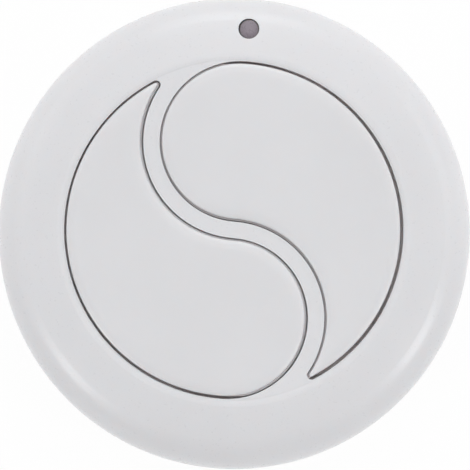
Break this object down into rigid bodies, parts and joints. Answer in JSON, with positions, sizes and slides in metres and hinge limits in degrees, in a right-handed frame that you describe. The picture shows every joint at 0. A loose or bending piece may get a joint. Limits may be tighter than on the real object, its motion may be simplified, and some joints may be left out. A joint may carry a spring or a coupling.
{
  "type": "garage door remote",
  "caption": "Round pocket garage door remote with an S-shaped bridge between teardrop push buttons, an indicator window in the rim and a sliding battery door.",
  "frame": {"origin": "centre of the flat back face, on which the remote lies", "axes": "+Z out of the front face with the buttons, +Y from the middle towards the indicator window, +X to the right when the buttons face the user"},
  "size_m": [0.068, 0.068, 0.0154],
  "materials": {
    "shell_plastic": "satin white ABS with a fine moulded texture",
    "button_plastic": "satin white ABS with a fine moulded texture",
    "door_plastic": "satin white ABS",
    "lens_plastic": "smoky translucent polycarbonate",
    "screw_steel": "black-zinc self-tapping screw",
    "board_laminate": "glass-epoxy board with green solder mask",
    "solder_tin": "bright tin",
    "antenna_wire": "enamelled copper wire",
    "contact_nickel": "nickel-plated spring strip",
    "cell_steel": "nickel-plated stainless steel",
    "cell_gasket_plastic": "moulded polypropylene",
    "cathode_powder": "pressed black powder",
    "separator_fleece": "thin fleece",
    "anode_metal": "soft grey metal foil",
    "led_housing": "white moulded base",
    "led_clear": "clear epoxy",
    "chip_epoxy": "black moulding compound",
    "tinned_lead": "tin-plated leads",
    "resonator_steel": "drawn metal can",
    "trimmer_ceramic": "cream ceramic",
    "trimmer_brass": "plated brass",
    "capacitor_ceramic": "tan ceramic",
    "resistor_ceramic": "black glazed top",
    "switch_nylon": "black nylon",
    "switch_stem_plastic": "dark moulded plastic",
    "switch_steel": "stamped stainless steel"
  },
  "bodies": {
    "housing": {"front_shell": "shell_plastic", "back_shell": "shell_plastic", "indicator_lens": "lens_plastic", "case_screws": "screw_steel", "circuit_board": "board_laminate", "solder_joints": "solder_tin", "antenna": "antenna_wire", "positive_contact": "contact_nickel", "negative_contact": "contact_nickel", "cell_can": "cell_steel", "cell_cap": "cell_steel", "cell_gasket": "cell_gasket_plastic", "cell_cathode": "cathode_powder", "cell_separator": "separator_fleece", "cell_anode": "anode_metal", "indicator_led_base": "led_housing", "indicator_led_dome": "led_clear", "encoder_chip": "chip_epoxy", "encoder_leads": "tinned_lead", "rf_transistor": "chip_epoxy", "rf_transistor_leads": "tinned_lead", "resonator_base": "resonator_steel", "resonator_can": "resonator_steel", "trimmer_body": "trimmer_ceramic", "chip_capacitors": "capacitor_ceramic", "chip_resistors": "resistor_ceramic", "chip_end_caps": "tinned_lead", "switch_upper_base": "switch_nylon", "switch_upper_cover": "switch_steel", "switch_upper_snap_dome": "switch_steel", "switch_upper_terminals": "tinned_lead", "switch_lower_base": "switch_nylon", "switch_lower_cover": "switch_steel", "switch_lower_snap_dome": "switch_steel", "switch_lower_terminals": "tinned_lead"},
    "cap_upper": {"button_upper": "button_plastic"},
    "cap_lower": {"button_lower": "button_plastic"},
    "stem_upper": {"switch_upper_stem": "switch_stem_plastic"},
    "stem_lower": {"switch_lower_stem": "switch_stem_plastic"},
    "door": {"battery_door": "door_plastic"},
    "rotor": {"trimmer_rotor": "trimmer_brass"}
  },
  "joints": [
    {"name": "button_upper_press", "type": "slide", "parent": "housing", "child": "cap_upper", "axis": [0, 0, -1], "range_m": [0, 0.0003], "stiffness_N_per_m": 4000, "springref_m": -0.0001},
    {"name": "switch_upper_stem_press", "type": "slide", "parent": "housing", "child": "stem_upper", "axis": [0, 0, -1], "range_m": [0, 0.0003], "deforming": ["switch_upper_snap_dome"]},
    {"name": "button_lower_press", "type": "slide", "parent": "housing", "child": "cap_lower", "axis": [0, 0, -1], "range_m": [0, 0.0003], "stiffness_N_per_m": 4000, "springref_m": -0.0001},
    {"name": "switch_lower_stem_press", "type": "slide", "parent": "housing", "child": "stem_lower", "axis": [0, 0, -1], "range_m": [0, 0.0003], "deforming": ["switch_lower_snap_dome"]},
    {"name": "battery_door_slide", "type": "slide", "parent": "housing", "child": "door", "axis": [0, -1, 0], "range_m": [0, 0.045]},
    {"name": "trimmer_turn", "type": "hinge", "parent": "housing", "child": "rotor", "pos_m": [-0.0186, -0.006, 0.0093], "axis": [0, 0, 1], "continuous": true}
  ],
  "couplings": [
    {"joint": "switch_upper_stem_press", "follows": "button_upper_press", "ratio": 1},
    {"joint": "switch_lower_stem_press", "follows": "button_lower_press", "ratio": 1}
  ]
}
